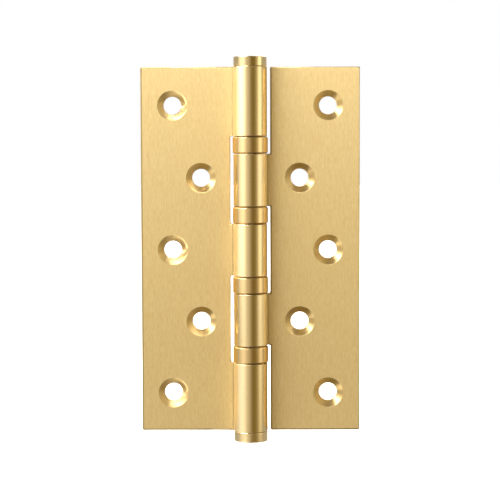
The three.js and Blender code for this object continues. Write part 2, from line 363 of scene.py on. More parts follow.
def sector_border(half_angle):
    """The border of one sector as (radius, angle): out along one side, round, back in and round again."""
    inner = np.full(SECTOR_STEPS, CAGE_INNER_RADIUS)
    outer = np.full(SECTOR_STEPS, CAGE_OUTER_RADIUS)
    edge = np.full(SECTOR_STEPS, half_angle)
    out = np.linspace(CAGE_INNER_RADIUS, CAGE_OUTER_RADIUS, SECTOR_STEPS, endpoint=False)
    back = np.linspace(CAGE_OUTER_RADIUS, CAGE_INNER_RADIUS, SECTOR_STEPS, endpoint=False)
    across = np.linspace(-half_angle, half_angle, SECTOR_STEPS, endpoint=False)
    radius = np.concatenate([out, outer, back, inner])
    angle = np.concatenate([-edge, across, edge, -across])
    return radius, angle


def spun(points, angle):
    """Points (x, y) turned round the pin by that angle."""
    cosine, sine = math.cos(angle), math.sin(angle)
    return points @ np.array([[cosine, sine], [-sine, cosine]])


def cage_sheets(centre_z):
    """Pocket wall and both flat faces of each sector, and the ring's inner and outer walls."""
    half_angle = math.pi / BALLS
    radius, angle = sector_border(half_angle)
    border = np.stack([radius * np.cos(angle), radius * np.sin(angle)], axis=-1)
    pocket_centre = np.array([BALL_PITCH_RADIUS, 0])
    outward = border - pocket_centre
    pocket = pocket_centre + POCKET_RADIUS * outward / np.linalg.norm(outward, axis=1, keepdims=True)
    share = np.linspace(0, 1, 4)[:, None, None]
    face = pocket + (border - pocket) * share
    rows = np.concatenate([face[::-1], face])
    heights = np.repeat([CAGE_HALF_HEIGHT, -CAGE_HALF_HEIGHT], len(face))
    height = np.broadcast_to((heights + centre_z)[:, None, None], rows.shape[:2] + (1,))
    sheets = []
    for ball in range(BALLS):
        flat = spun(rows, 2 * half_angle * ball)
        sheets.append(sheet(np.concatenate([flat, height], axis=-1), close_columns=True))
    for ring_radius in (CAGE_INNER_RADIUS, CAGE_OUTER_RADIUS):
        ring = np.array([(ring_radius, CAGE_HALF_HEIGHT), (ring_radius, -CAGE_HALF_HEIGHT)])
        points, faces = turned_sheet(ring, centre_z, SECTOR_STEPS * BALLS, closed=False)
        points[:, :2] = spun(points[:, :2], -half_angle)
        sheets.append((points, faces))
    return sheets


def ball_sheet(number, centre_z):
    """A sphere: circles of radius R sin t at height R cos t, with t from pole to pole."""
    polar = np.linspace(0, math.pi, BALL_STEPS // 2 + 1)
    outline = BALL_RADIUS * np.stack([np.sin(polar), -np.cos(polar)], axis=-1)
    points, faces = turned_sheet(outline, centre_z, BALL_STEPS, closed=False)
    angle = 2 * math.pi * number / BALLS
    points += BALL_PITCH_RADIUS * np.array([math.cos(angle), math.sin(angle), 0])
    return points, faces


# %% Build the bearings
bearings = []
for number, (low, high) in enumerate(bearing_boxes, start=1):
    centre_z = (low.z + high.z) / 2
    upper = turned_sheet(upper_race_outline(), centre_z, RACE_STEPS)
    lower = turned_sheet(upper_race_outline() * (1, -1), centre_z, RACE_STEPS)
    bearings.append({
        "shell": piece_from(f"bearing_{number}_ring", [turned_sheet(shell_outline(), centre_z)]),
        "upper_race": piece_from(f"bearing_{number}_upper_raceway", [upper]),
        "lower_race": piece_from(f"bearing_{number}_lower_raceway", [lower]),
        "ball_cage": piece_from(f"bearing_{number}_cage", cage_sheets(centre_z)),
        "balls": [
            piece_from(f"bearing_{number}_steel_ball_{ball + 1}", [ball_sheet(ball, centre_z)])
            for ball in range(BALLS)
        ],
    })

# %% [markdown]
# ## Lines that every patch of a leaf shares
# A leaf is a plate with knuckles rolled from it, cut-outs between them and five countersunk holes. Its
# skin is made of patches: two flat faces, the edge walls, the hole linings, and each knuckle with its
# bore and its two end faces. The patches can only weld if their border points match, so all of them take
# their places from the same three sets of lines, across, through and along the plate. Those lines pass
# through every corner of the shape. Each hole sits in a square cell of the grid, and the two rows of
# holes are a whole number of steps apart.

# %% The shared lines
hole_columns = sorted({round(x, 6) for x, z in SCREW_HOLES})
INNER_COLUMN, OUTER_COLUMN = hole_columns
CELL_STEPS = 24
STEPS_BETWEEN_ROWS = 16
STEP = (OUTER_COLUMN - INNER_COLUMN) / STEPS_BETWEEN_ROWS
CELL = STEP * CELL_STEPS / 2


def lines_through(breaks):
    """Places that hit every break, and are evenly spaced between two, STEP or less apart."""
    breaks = np.array(sorted(breaks))
    slack = 0.001
    counts = np.maximum(1, np.ceil(np.diff(breaks) / STEP - slack)).astype(int)
    runs = [
        start + (end - start) * np.arange(count) / count
        for start, end, count in zip(breaks[:-1], breaks[1:], counts)
    ]
    return np.concatenate(runs + [breaks[-1:]])


across_breaks = [CUTOUT_EDGE, INNER_COLUMN - CELL, OUTER_COLUMN + CELL, HALF_WIDTH]
cell_edges = {round(z + side * CELL, 7) for x, z in SCREW_HOLES for side in (-1, 1)}
knuckle_ends = {round(z, 7) for ends in KNUCKLES for z in ends}

ACROSS = lines_through(across_breaks)
ALONG = lines_through(cell_edges | knuckle_ends)
THROUGH = np.linspace(PLATE_FRONT, PLATE_BACK, 6)
print("lines across, through, along:", len(ACROSS), len(THROUGH), len(ALONG))


def within(lines, low, high):
    """The lines from low to high, both included."""
    slack = STEP / 100
    return lines[(lines > low - slack) & (lines < high + slack)]


def wall(x, y, z, close_columns=False):
    """A flat or straight patch: the three are broadcast against each other and stacked as points."""
    return sheet(np.stack(np.broadcast_arrays(x, y, z), axis=-1), close_columns=close_columns)


# %% [markdown]
# ## Plate faces and screw holes
# A flat face is the whole grid of lines with the square cells of the holes left out. Each cell is then
# filled by one patch that runs straight from the square's border in to the countersink's rim, down the
# 90 degree cone, through the drilled hole, and out again to the square on the back. The cone's end is
# where the screw head stops, so its depth is the difference of the two radii.

# %% Plate faces and hole linings
def plate_face(y):
    """The flat face at depth y: every grid square but those in a hole's cell."""
    points, faces = wall(ACROSS[None, :], y, ALONG[:, None])
    middle = points[faces].mean(axis=1)
    in_a_cell = np.zeros(len(faces), bool)
    for x, z in SCREW_HOLES:
        in_a_cell |= (np.abs(middle[:, 0] - x) < CELL) & (np.abs(middle[:, 2] - z) < CELL)
    return points, faces[~in_a_cell]


def hole_lining(x, z):
    """Rows of points round a hole: square border, rim, cone, bore, and the square border on the back.

    Each row is a blend between the square's border points and a circle, at its own depth.
    """
    run = np.linspace(-CELL, CELL, CELL_STEPS, endpoint=False)
    side = np.full(CELL_STEPS, CELL)
    square = np.stack([
        np.concatenate([run, side, -run, -side]),
        np.concatenate([-side, run, side, -run]),
    ], axis=-1)
    angle = np.linspace(0, 2 * math.pi, 4 * CELL_STEPS, endpoint=False) - 0.75 * math.pi
    circle = np.stack([np.cos(angle), np.sin(angle)], axis=-1)
    drilled = circle * SCREW_RADIUS
    cone_depth = COUNTERSINK_RADIUS - SCREW_RADIUS
    rows = [
        (square + (circle * COUNTERSINK_RADIUS - square) * share, PLATE_FRONT)
        for share in np.linspace(0, 1, 5)
    ]
    rows += [
        (circle * (COUNTERSINK_RADIUS - cone_depth * share), PLATE_FRONT + cone_depth * share)
        for share in np.linspace(0, 1, 5)[1:]
    ]
    rows += [
        (drilled, y) for y in np.linspace(PLATE_FRONT + cone_depth, PLATE_BACK, 3)[1:]
    ]
    rows += [
        (drilled + (square - drilled) * share, PLATE_BACK)
        for share in np.linspace(0, 1, 7)[1:]
    ]
    flat = np.array([row for row, depth in rows])
    depth = np.broadcast_to(np.array([depth for row, depth in rows])[:, None], flat.shape[:2])
    points = np.stack([x + flat[..., 0], depth, z + flat[..., 1]], axis=-1)
    return sheet(points, close_columns=True)


# %% [markdown]
# ## A knuckle
# Seen from above, a knuckle is a circle that runs into the plate with a small hollow fillet on the front
# and a wider one at the back. A fillet's centre is one fillet radius from the plate's face and one
# knuckle radius plus one fillet radius from the pin, which gives it by Pythagoras. The end face lies
# between this outline and the bore. It is ruled with straight lines from the bore to the outline, and
# the points of the bore that serve the neck are spread evenly along it.

# %% The knuckle's outline, side, bore and end faces
def arc(centre, radius, start, end, steps):
    """Points on a circle from one angle to another."""
    angle = np.linspace(start, end, steps + 1)
    return centre + radius * np.stack([np.cos(angle), np.sin(angle)], axis=-1)


def fillet_centre(face, radius, side):
    """Where a ball of this radius rests against the knuckle and that side of the plate's face."""
    y = face + side * radius
    return np.array([math.sqrt((KNUCKLE_RADIUS + radius) ** 2 - y ** 2), y])


front_centre = fillet_centre(PLATE_FRONT, FRONT_FILLET, -1)
back_centre = fillet_centre(PLATE_BACK, BACK_FILLET, 1)
FRONT_TURN = math.atan2(front_centre[1], front_centre[0])
BACK_TURN = math.atan2(back_centre[1], back_centre[0])
KNUCKLE_STEPS = 108
FRONT_FILLET_STEPS = 12
BACK_FILLET_STEPS = 8


def knuckle_outline():
    """In along the front face, round the front fillet, the barrel and the back fillet, and out again."""
    back_run = np.linspace(back_centre[0], CUTOUT_EDGE, 5)[1:]
    return np.concatenate([
        [(CUTOUT_EDGE, PLATE_FRONT)],
        arc(front_centre, FRONT_FILLET, math.pi / 2, math.pi + FRONT_TURN, FRONT_FILLET_STEPS),
        arc((0, 0), KNUCKLE_RADIUS, FRONT_TURN, BACK_TURN - 2 * math.pi, KNUCKLE_STEPS)[1:],
        arc(back_centre, BACK_FILLET, math.pi + BACK_TURN, 1.5 * math.pi, BACK_FILLET_STEPS)[1:],
        np.stack([back_run, np.full(4, PLATE_BACK)], axis=-1),
    ])


def bore_angles(outline):
    """One bore angle per outline point: the same angle round the barrel, evenly spread along the neck."""
    first = FRONT_FILLET_STEPS + 1
    round_barrel = np.arange(first, first + KNUCKLE_STEPS + 1)
    angle = np.zeros(len(outline))
    angle[round_barrel] = np.linspace(FRONT_TURN, BACK_TURN - 2 * math.pi, KNUCKLE_STEPS + 1)
    neck = np.r_[round_barrel[-1]:len(outline), 0:first + 1]
    runs = np.linalg.norm(np.diff(outline[neck], axis=0), axis=1)
    travelled = np.concatenate([[0], np.cumsum(runs)]) / runs.sum()
    angle[neck] = BACK_TURN + (FRONT_TURN - BACK_TURN) * travelled
    return angle


def knuckle_sheets(low, high):
    """Side, bore and both end faces of one knuckle, with its neck out to the cut-out line."""
    side = knuckle_outline()
    neck_wall = np.stack([np.full(len(THROUGH) - 2, CUTOUT_EDGE), THROUGH[-2:0:-1]], axis=-1)
    closed = np.concatenate([side, neck_wall])
    angle = bore_angles(closed)
    bore = BORE_RADIUS * np.stack([np.cos(angle), np.sin(angle)], axis=-1)
    heights = within(ALONG, low, high)[:, None]
    sheets = [wall(side[:, 0], side[:, 1], heights)]
    sheets.append(wall(bore[:, 0], bore[:, 1], heights, close_columns=True))
    share = np.linspace(0, 1, 6)[:, None, None]
    ruled = bore + (closed - bore) * share
    sheets += [wall(ruled[..., 0], ruled[..., 1], z, close_columns=True) for z in (low, high)]
    return sheets


# %% [markdown]
# ## The two leaves
# The frame leaf carries the first, third and fifth knuckle, and the door leaf the second and fourth.
# Both are made by one function, as if they lay to the right of the pin, and the frame leaf is then
# mirrored. A Bevel modifier breaks the sharp edges. Its width is multiplied by each edge's bevel weight,
# so one modifier can round the plate's edges well, the knuckles' ends a little, and the holes' rims
# hardly at all. An edge is sharp when its two faces meet at more than 30 degrees, which leaves the
# fillets alone.

# %% Build the leaves
def leaf_sheets(own_knuckles):
    """Every patch of a leaf to the right of the pin that carries these knuckles."""
    sheets = [plate_face(PLATE_FRONT), plate_face(PLATE_BACK)]
    sheets += [hole_lining(x, z) for x, z in SCREW_HOLES]
    sheets.append(wall(HALF_WIDTH, THROUGH[None, :], ALONG[:, None]))
    sheets += [wall(ACROSS[:, None], THROUGH[None, :], z) for z in (-HALF_HEIGHT, HALF_HEIGHT)]
    for low, high in own_knuckles:
        sheets += knuckle_sheets(low, high)
    ends = sorted(z for pair in own_knuckles for z in pair)
    ends = [-HALF_HEIGHT] + ends + [HALF_HEIGHT]
    for low, high in zip(ends[0::2], ends[1::2]):
        if high > low:
            sheets.append(wall(CUTOUT_EDGE, THROUGH[None, :], within(ALONG, low, high)[:, None]))
    return sheets


def read_all(elements, name, size=1, kind=float):
    """One property of every element of a mesh, as an array with a row for each."""
    values = np.empty(len(elements) * size, kind)
    elements.foreach_get(name, values)
    return values if size == 1 else values.reshape(-1, size)


def sharp_edges(mesh, steepest=30):
    """True for every edge whose two faces meet at more than that many degrees."""
    normals = read_all(mesh.polygons, "normal", 3)
    corner_counts = read_all(mesh.polygons, "loop_total", kind=np.int32)
    corner_edges = read_all(mesh.loops, "edge_index", kind=np.int32)
    corner_faces = np.repeat(np.arange(len(normals)), corner_counts)
    pairs = corner_faces[np.argsort(corner_edges, kind="stable")].reshape(-1, 2)
    first, second = normals[pairs].transpose(1, 0, 2)
    return (first * second).sum(axis=1) < math.cos(math.radians(steepest))


def edge_middles(mesh):
    """The middle of every edge, as one array."""
    places = read_all(mesh.vertices, "co", 3)
    return places[read_all(mesh.edges, "vertices", 2, np.int32)].mean(axis=1)


def break_edges(piece, widths, segments=3):
    """Rounds the sharp edges, each by its own width. Widths has one for every edge, in metres."""
    widths = np.where(sharp_edges(piece.data), widths, 0)
    weight = piece.data.attributes.new("bevel_weight_edge", "FLOAT", "EDGE")
    weight.data.foreach_set("value", (widths / widths.max()).astype(np.float32))
    bevel = piece.modifiers.new("edge break", "BEVEL")
    bevel.width = widths.max()
    bevel.segments = segments
    bevel.limit_method = "WEIGHT"
    bevel.use_clamp_overlap = False
    bevel.harden_normals = True


def mirrored(sheets):
    """The same patches on the other side of the pin."""
    return [(points * (-1, 1, 1), faces) for points, faces in sheets]


frame_leaf = piece_from("frame_leaf_plate", mirrored(leaf_sheets(KNUCKLES[0::2])))
door_leaf = piece_from("door_leaf_plate", leaf_sheets(KNUCKLES[1::2]))

PLATE_BREAK = 0.42 * MM
KNUCKLE_BREAK = 0.22 * MM
HOLE_BREAK = 0.08 * MM
CAGE_BREAK = 0.06 * MM
HAIR = 0.01 * MM
for leaf in (frame_leaf, door_leaf):
    middle = edge_middles(leaf.data)
    from_pin = np.hypot(middle[:, 0], middle[:, 1])
    near_plate = np.clip((from_pin - KNUCKLE_RADIUS) / (CUTOUT_EDGE - KNUCKLE_RADIUS), 0, 1)
    width = KNUCKLE_BREAK + (PLATE_BREAK - KNUCKLE_BREAK) * near_plate
    for x, z in SCREW_HOLES:
        at_hole = np.hypot(np.abs(middle[:, 0]) - x, middle[:, 2] - z) < COUNTERSINK_RADIUS + HAIR
        width = np.where(at_hole, HOLE_BREAK, width)
    break_edges(leaf, width)
for bearing in bearings:
    cage = bearing["ball_cage"]
    break_edges(cage, np.full(len(cage.data.edges), CAGE_BREAK), segments=2)

# %% [markdown]
# ## Which body each piece rides on
# The frame has six bodies: the side fixed to the frame, the side that swings with the door, and the four
# sets of balls, which roll at half the door's angle. A race turns with the knuckle it touches, and a
# bearing's ring turns with the race it is crimped on. The record's list of nodes for each body says all
# of this already, so each piece looks up its node there.

# %% Ride and replace
body_of_node = {
    node: body for body, nodes in frame["record"]["behaviour"]["bodies"].items() for node in nodes
}


def stand_for(piece, node):
    """The piece takes the node's place and moves with its body."""
    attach(piece, body_of_node[node])
    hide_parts(node)


stand_for(frame_leaf, "frame_leaf")
stand_for(door_leaf, "door_leaf")
stand_for(pin, "hinge_pin")
stand_for(top_finial, "top_finial")
stand_for(bottom_finial, "bottom_finial")
bearing_slots = {
    "shell": "bearing_brass",
    "upper_race": "race_steel",
    "lower_race": "race_steel",
    "ball_cage": "cage_brass",
}
for number, bearing in enumerate(bearings, start=1):
    for part, slot in bearing_slots.items():
        stand_for(bearing[part], f"bearing_{number}_{part}")
    for ball, piece in enumerate(bearing["balls"], start=1):
        stand_for(piece, f"bearing_{number}_ball_{ball}")
print("pieces:", 5 + sum(4 + len(bearing["balls"]) for bearing in bearings))

# %% [markdown]
# ## Building node trees from code
# A material is a tree of nodes, and a world is one too. Clicking nodes together is quick, but a script
# repeats exactly. The first helper below adds one node, sets its properties, and fills each input, by name
# or by number, with either a value or a link from another node's output. The others are short names for the
# nodes that are needed most.

# %% Node helpers
def add_node(tree, kind, inputs=None, **properties):
    """Adds a node. An input given as a socket is linked, anything else becomes its value."""
    node = tree.nodes.new(kind)
    for name, value in properties.items():
        setattr(node, name, value)
    for name, value in (inputs or {}).items():
        if isinstance(value, bpy.types.NodeSocket):
            tree.links.new(value, node.inputs[name])
        else:
            node.inputs[name].default_value = value
    return node


def maths(tree, operation, *values):
    """The output of one Math node."""
    return add_node(tree, "ShaderNodeMath", dict(enumerate(values)), operation=operation).outputs["Value"]


def vector_maths(tree, operation, *values):
    """The output of one Vector Math node: a number for a length or a dot product, else a vector."""
    node = add_node(tree, "ShaderNodeVectorMath", dict(enumerate(values)), operation=operation)
    return node.outputs["Value" if operation in ("LENGTH", "DOT_PRODUCT") else "Vector"]


def split_axes(tree, vector):
    """The X, Y and Z of a vector, by name."""
    return add_node(tree, "ShaderNodeSeparateXYZ", {"Vector": vector}).outputs


def join_axes(tree, **axes):
    """The vector with these X, Y and Z. One that isn't given is 0."""
    return add_node(tree, "ShaderNodeCombineXYZ", axes).outputs["Vector"]


def noise(tree, inputs, dimensions="3D"):
    """The output of one Noise Texture node, 0 to 1."""
    return add_node(tree, "ShaderNodeTexNoise", inputs, noise_dimensions=dimensions).outputs["Fac"]


def ramp(tree, value, start, end):
    """A soft step: 0 before start, 1 after end, and a smooth S between them."""
    node = add_node(
        tree, "ShaderNodeMapRange", {"Value": value, "From Min": start, "From Max": end},
        interpolation_type="SMOOTHSTEP")
    return node.outputs["Result"]


def blend(tree, share, first, second, kind="RGBA"):
    """The first where the share is 0, the second where it is 1: colours, or with FLOAT plain numbers."""
    low, high, result = (6, 7, 2) if kind == "RGBA" else (2, 3, 0)
    node = add_node(tree, "ShaderNodeMix", {0: share, low: first, high: second}, data_type=kind)
    return node.outputs[result]


def tinted(tree, colour, tint, mask, most):
    """The colour, turned towards the tint where the mask is 1, by a share of at most that much."""
    return blend(tree, maths(tree, "MULTIPLY", mask, most), colour, tint)


def new_group(name, inputs, outputs):
    """An empty node group. Its sockets are numbers, but for Vector. Returns the tree, inputs and outputs."""
    tree = bpy.data.node_groups.new(name, "ShaderNodeTree")
    for way, sockets in (("INPUT", inputs), ("OUTPUT", outputs)):
        for socket in sockets:
            kind = "NodeSocketVector" if socket == "Vector" else "NodeSocketFloat"
            tree.interface.new_socket(socket, in_out=way, socket_type=kind)
    return tree, tree.nodes.new("NodeGroupInput").outputs, tree.nodes.new("NodeGroupOutput").inputs


def use_group(tree, group, **inputs):
    """Places a node group in a tree, fills its inputs and returns its outputs."""
    return add_node(tree, "ShaderNodeGroup", inputs, node_tree=group).outputs


# %% [markdown]
# ## Grain
# Satin brass gets its look from a belt that leaves thousands of fine parallel scratches. No scratch can be
# seen alone, but the fine ones widen every reflection across their run, and the odd deeper one shows as a
# faint streak. Noise stretched along the scratches gives both. The stretch is done by scaling the three
# coordinates by different amounts before they reach the noise.

# %% Grain group
def make_grain():
    """Streaks, 0 to 1, along Z: noise whose cells are Width across and Length along, in metres."""
    tree, given, result = new_group("brushed grain", ["Vector", "Width", "Length"], ["Streaks"])
    across = maths(tree, "DIVIDE", 1.0, given["Width"])
    along = maths(tree, "DIVIDE", 1.0, given["Length"])
    scale = join_axes(tree, X=across, Y=across, Z=along)
    stretched = vector_maths(tree, "MULTIPLY", given["Vector"], scale)
    streaks = noise(tree, {"Vector": stretched, "Scale": 1.0, "Detail": 3.0, "Roughness": 0.6})
    tree.links.new(streaks, result["Streaks"])
    return tree


brushed_grain = make_grain()

# %% [markdown]
# ## Turning marks
# A lathe or a countersink cutter leaves rings instead of straight scratches. The rings are noise along one
# number only, the distance travelled by the tool, which is the height on a side wall and the radius on an
# end face. A second group finds the distance from the nearest screw hole's axis, so that the rings in the
# countersinks run round each hole. Both rows repeat at even steps along the plate, so the nearest hole is
# found by rounding the height to the row's spacing.

# %% Turning groups
RING_DRIFT = 0.8
DRIFTS_PER_METRE = 300.0


def make_rings():
    """Rings, 0 to 1: noise along Distance with that Spacing, drifting a little over the surface."""
    tree, given, result = new_group("turning rings", ["Distance", "Spacing", "Vector"], ["Rings"])
    steps = maths(tree, "DIVIDE", given["Distance"], given["Spacing"])
    drift = noise(tree, {"Vector": given["Vector"], "Scale": DRIFTS_PER_METRE, "Detail": 0.0})
    drifted = maths(tree, "MULTIPLY_ADD", drift, RING_DRIFT, steps)
    rings = noise(tree, {"W": drifted, "Scale": 1.0, "Detail": 2.0}, "1D")
    tree.links.new(rings, result["Rings"])
    return tree


def make_hole_distance():
    """The distance from the nearest screw hole's axis, over both rows and both leaves."""
    tree, given, result = new_group("screw hole distance", ["Vector"], ["Distance"])
    place = split_axes(tree, given["Vector"])
    across = maths(tree, "ABSOLUTE", place["X"])
    distances = []
    for column in hole_columns:
        heights = sorted(z for x, z in SCREW_HOLES if abs(x - column) < MM)
        spacing = heights[1] - heights[0]
        row = maths(tree, "DIVIDE", maths(tree, "SUBTRACT", place["Z"], heights[0]), spacing)
        nearest = maths(tree, "ROUND", maths(tree, "MAXIMUM", row, 0.0))
        nearest = maths(tree, "MINIMUM", nearest, float(len(heights) - 1))
        up = maths(tree, "MULTIPLY", maths(tree, "SUBTRACT", row, nearest), spacing)
        side = maths(tree, "SUBTRACT", across, column)
        distances.append(vector_maths(tree, "LENGTH", join_axes(tree, X=side, Y=up)))
    tree.links.new(maths(tree, "MINIMUM", *distances), result["Distance"])
    return tree


turning_rings = make_rings()
screw_hole_distance = make_hole_distance()

# %% [markdown]
# ## Edges, hollows and clouds
# Belt and wheel miss a part's broken edges, which stay rougher than its faces. The edges are also
# darkened in colour, which is painted shade: it stands for the dark that a rounded edge reflects. A
# part's hollows keep a trace of tarnish. Geometry's Pointiness is above one half on outward corners and
# below it in hollows, so it gives both masks. A slow noise breaks them up. The same noise serves as the
# faint cloudiness that fingers leave on steel.

# %% Edge shade, tarnish and clouds group
EDGE_POINTINESS = (0.515, 0.56)
HOLLOW_POINTINESS = (0.485, 0.44)
UNEVENNESS = 0.03
PLATE_CLOUDS = 120.0
SMALL_PART_CLOUDS = 200.0


def make_edge_shade_tarnish_and_clouds():
    """Edge is 1 on outward corners, Hollow is 1 in inward ones, Cloud is a slow noise from 0 to 1."""
    tree, given, result = new_group("edge shade, tarnish and clouds", ["Vector", "Scale"], ["Edge", "Hollow", "Cloud"])
    cloud = noise(tree, {"Vector": given["Vector"], "Scale": given["Scale"], "Detail": 3.0})
    point = add_node(tree, "ShaderNodeNewGeometry").outputs["Pointiness"]
    uneven = maths(tree, "MULTIPLY_ADD", maths(tree, "SUBTRACT", cloud, 0.5), UNEVENNESS, point)
    tree.links.new(ramp(tree, uneven, *EDGE_POINTINESS), result["Edge"])
    tree.links.new(ramp(tree, uneven, *HOLLOW_POINTINESS), result["Hollow"])
    tree.links.new(cloud, result["Cloud"])
    return tree


edge_shade_tarnish_and_clouds = make_edge_shade_tarnish_and_clouds()

# %% [markdown]
# ## Satin brass of the plates
# Brass reflects red best and blue least, so its base colour is a warm yellow with Metallic at 1. The
# belt grain runs up the plates and spreads reflections sideways, which is what Anisotropic does. With no
# tangent given, Cycles spreads them round Z, and that is sideways here. Roughness varies with the
# streaks, and a weak Bump turns the deeper scratches into real relief. The belt doesn't reach the
# countersinks, which show the cutter's rings. Painted shade darkens two places in colour: the
# countersinks, and the crease where the front face meets the barrel.

# %% Plate material
PLATE_BRASS = (0.955, 0.785, 0.425, 1)
PLATE_DEEP = (0.85, 0.64, 0.29, 1)
EDGE_SHADE_BRASS = (0.46, 0.34, 0.15, 1)
SHADED_HOLE_BRASS = (0.58, 0.44, 0.19, 1)
CORNER_SHADE_BRASS = (0.30, 0.21, 0.09, 1)
BRASS_DEEP = (0.76, 0.57, 0.27, 1)

FINE_GRAIN = {"Width": 0.20 * MM, "Length": 2 * MM}
BROAD_GRAIN = {"Width": 0.5 * MM, "Length": 7 * MM}
FINE_SHARE = 0.65
STREAK_TONES = (0.35, 0.65)
GRAIN_SPREAD = 0.82
GRAIN_RELIEF = 0.004 * MM
HOLE_RING_SPACING = 0.16 * MM
RIM_FADE = 0.05 * MM
FRONT_SIDE = (3.8 * MM, 3.6 * MM)
CORNER_ACROSS = (6.55 * MM, 6.3 * MM)
CORNER_DEPTH = (1.3 * MM, 1.1 * MM)


def new_material(name):
    """A material with a metal Principled BSDF: returns the material, its tree, the shader and the place."""
    material = bpy.data.materials.new(name)
    material.use_nodes = True
    tree = material.node_tree
    shader = tree.nodes["Principled BSDF"]
    shader.inputs["Metallic"].default_value = 1.0
    place = add_node(tree, "ShaderNodeTexCoord").outputs["Object"]
    return material, tree, shader, place


def connect(tree, shader, colour, roughness, height, depth):
    """Feeds the shader. The height, 0 to 1, is a relief of that depth in metres."""
    bump = add_node(tree, "ShaderNodeBump", {"Height": height, "Strength": 1.0, "Distance": depth})
    tree.links.new(colour, shader.inputs["Base Color"])
    tree.links.new(roughness, shader.inputs["Roughness"])
    tree.links.new(bump.outputs["Normal"], shader.inputs["Normal"])


def make_plate_brass():
    """Belt-grained brass, with turned rings inside the countersinks, and painted shade on the broken edges,
    in the countersinks and in the crease by the barrel.
    """
    material, tree, shader, place = new_material("satin_brass_plate")
    shader.inputs["Anisotropic"].default_value = GRAIN_SPREAD
    fine = use_group(tree, brushed_grain, Vector=place, **FINE_GRAIN)["Streaks"]
    broad = use_group(tree, brushed_grain, Vector=place, **BROAD_GRAIN)["Streaks"]
    streaks = blend(tree, FINE_SHARE, broad, fine, "FLOAT")
    edge_shade_and_tarnish = use_group(tree, edge_shade_tarnish_and_clouds, Vector=place, Scale=PLATE_CLOUDS)
    distance = use_group(tree, screw_hole_distance, Vector=place)["Distance"]
    rings = use_group(
        tree, turning_rings, Distance=distance, Spacing=HOLE_RING_SPACING, Vector=place)["Rings"]

    axes = split_axes(tree, place)
    in_rim = ramp(tree, distance, COUNTERSINK_RADIUS + RIM_FADE, COUNTERSINK_RADIUS - RIM_FADE)
    in_hole = maths(tree, "MULTIPLY", in_rim, ramp(tree, axes["Y"], *FRONT_SIDE))
    # Painted shade: the crease where the front face meets the barrel is darkened in colour.
    near_pin = ramp(tree, maths(tree, "ABSOLUTE", axes["X"]), *CORNER_ACROSS)
    corner_shade = maths(tree, "MULTIPLY", near_pin, ramp(tree, axes["Y"], *CORNER_DEPTH))

    colour = tinted(tree, PLATE_BRASS, PLATE_DEEP, ramp(tree, streaks, *STREAK_TONES), 0.8)
    colour = tinted(tree, colour, PLATE_DEEP, edge_shade_and_tarnish["Hollow"], 0.5)
    # Painted shade: the broken edges are darkened in colour, standing for the dark they reflect.
    colour = tinted(tree, colour, EDGE_SHADE_BRASS, edge_shade_and_tarnish["Edge"], 0.9)
    colour = tinted(tree, colour, CORNER_SHADE_BRASS, corner_shade, 0.6)
    # Painted shade: the countersinks are darkened in colour for the shade in the recess; the rings between
    # two tones are the cutter's marks.
    colour = blend(tree, in_hole, colour, blend(tree, rings, SHADED_HOLE_BRASS, BRASS_DEEP))
    belt = maths(tree, "MULTIPLY_ADD", streaks, 0.18, 0.49)
    turned = maths(tree, "MULTIPLY_ADD", rings, 0.2, 0.42)
    roughness = blend(tree, in_hole, belt, turned, "FLOAT")
    relief = blend(tree, in_hole, streaks, rings, "FLOAT")
    connect(tree, shader, colour, roughness, relief, GRAIN_RELIEF)
    return material


plate_brass = make_plate_brass()

# %% [markdown]
# ## Turned brass of the knuckles, bearings and finials
# The knuckles were finished by rolling against a wheel, so their fine marks run round them and their
# reflections stay narrow from side to side. On its own leaf's side a knuckle was caught by the belt as
# well, which left it rougher, and it is painted paler there as a sheen. The bearing rings are a redder
# brass, with painted shade darkening their bevels. The top finial is bright, and the bottom one is satin.

# %% Turned brass materials
PALE_SHEEN_BRASS = (0.93, 0.78, 0.48, 1)
BRASS = (0.84, 0.67, 0.375, 1)
BRASS_RED = (0.77, 0.57, 0.29, 1)
TURNING_SPACING = 0.12 * MM
TURNED_GRAIN = {"Width": 0.25 * MM, "Length": 1.5 * MM}
RING_SHARE = 0.6
TURNED_RELIEF = 0.002 * MM
EDGE_ROUGHNESS = 0.3
BELT_AND_SHEEN_REACH = (1.2 * MM, 4.4 * MM)
BELT_ROUGHNESS = 0.38
BEVEL_FADE = 0.3 * MM

bearing_middles = [(low.z + high.z) / 2 for low, high in bearing_boxes]
BEARING_STEP = bearing_middles[0] - bearing_middles[1]


def bearing_bevels(tree, height):
    """1 on the bevels of every bearing ring, which stand at even steps to both sides of the middle."""
    from_middle = maths(tree, "MODULO", maths(tree, "ABSOLUTE", height), BEARING_STEP)
    from_centre = maths(tree, "ABSOLUTE", maths(tree, "SUBTRACT", from_middle, BEARING_STEP / 2))
    return ramp(tree, from_centre, SHELL_HALF - SHELL_EDGE, SHELL_HALF - BEVEL_FADE)


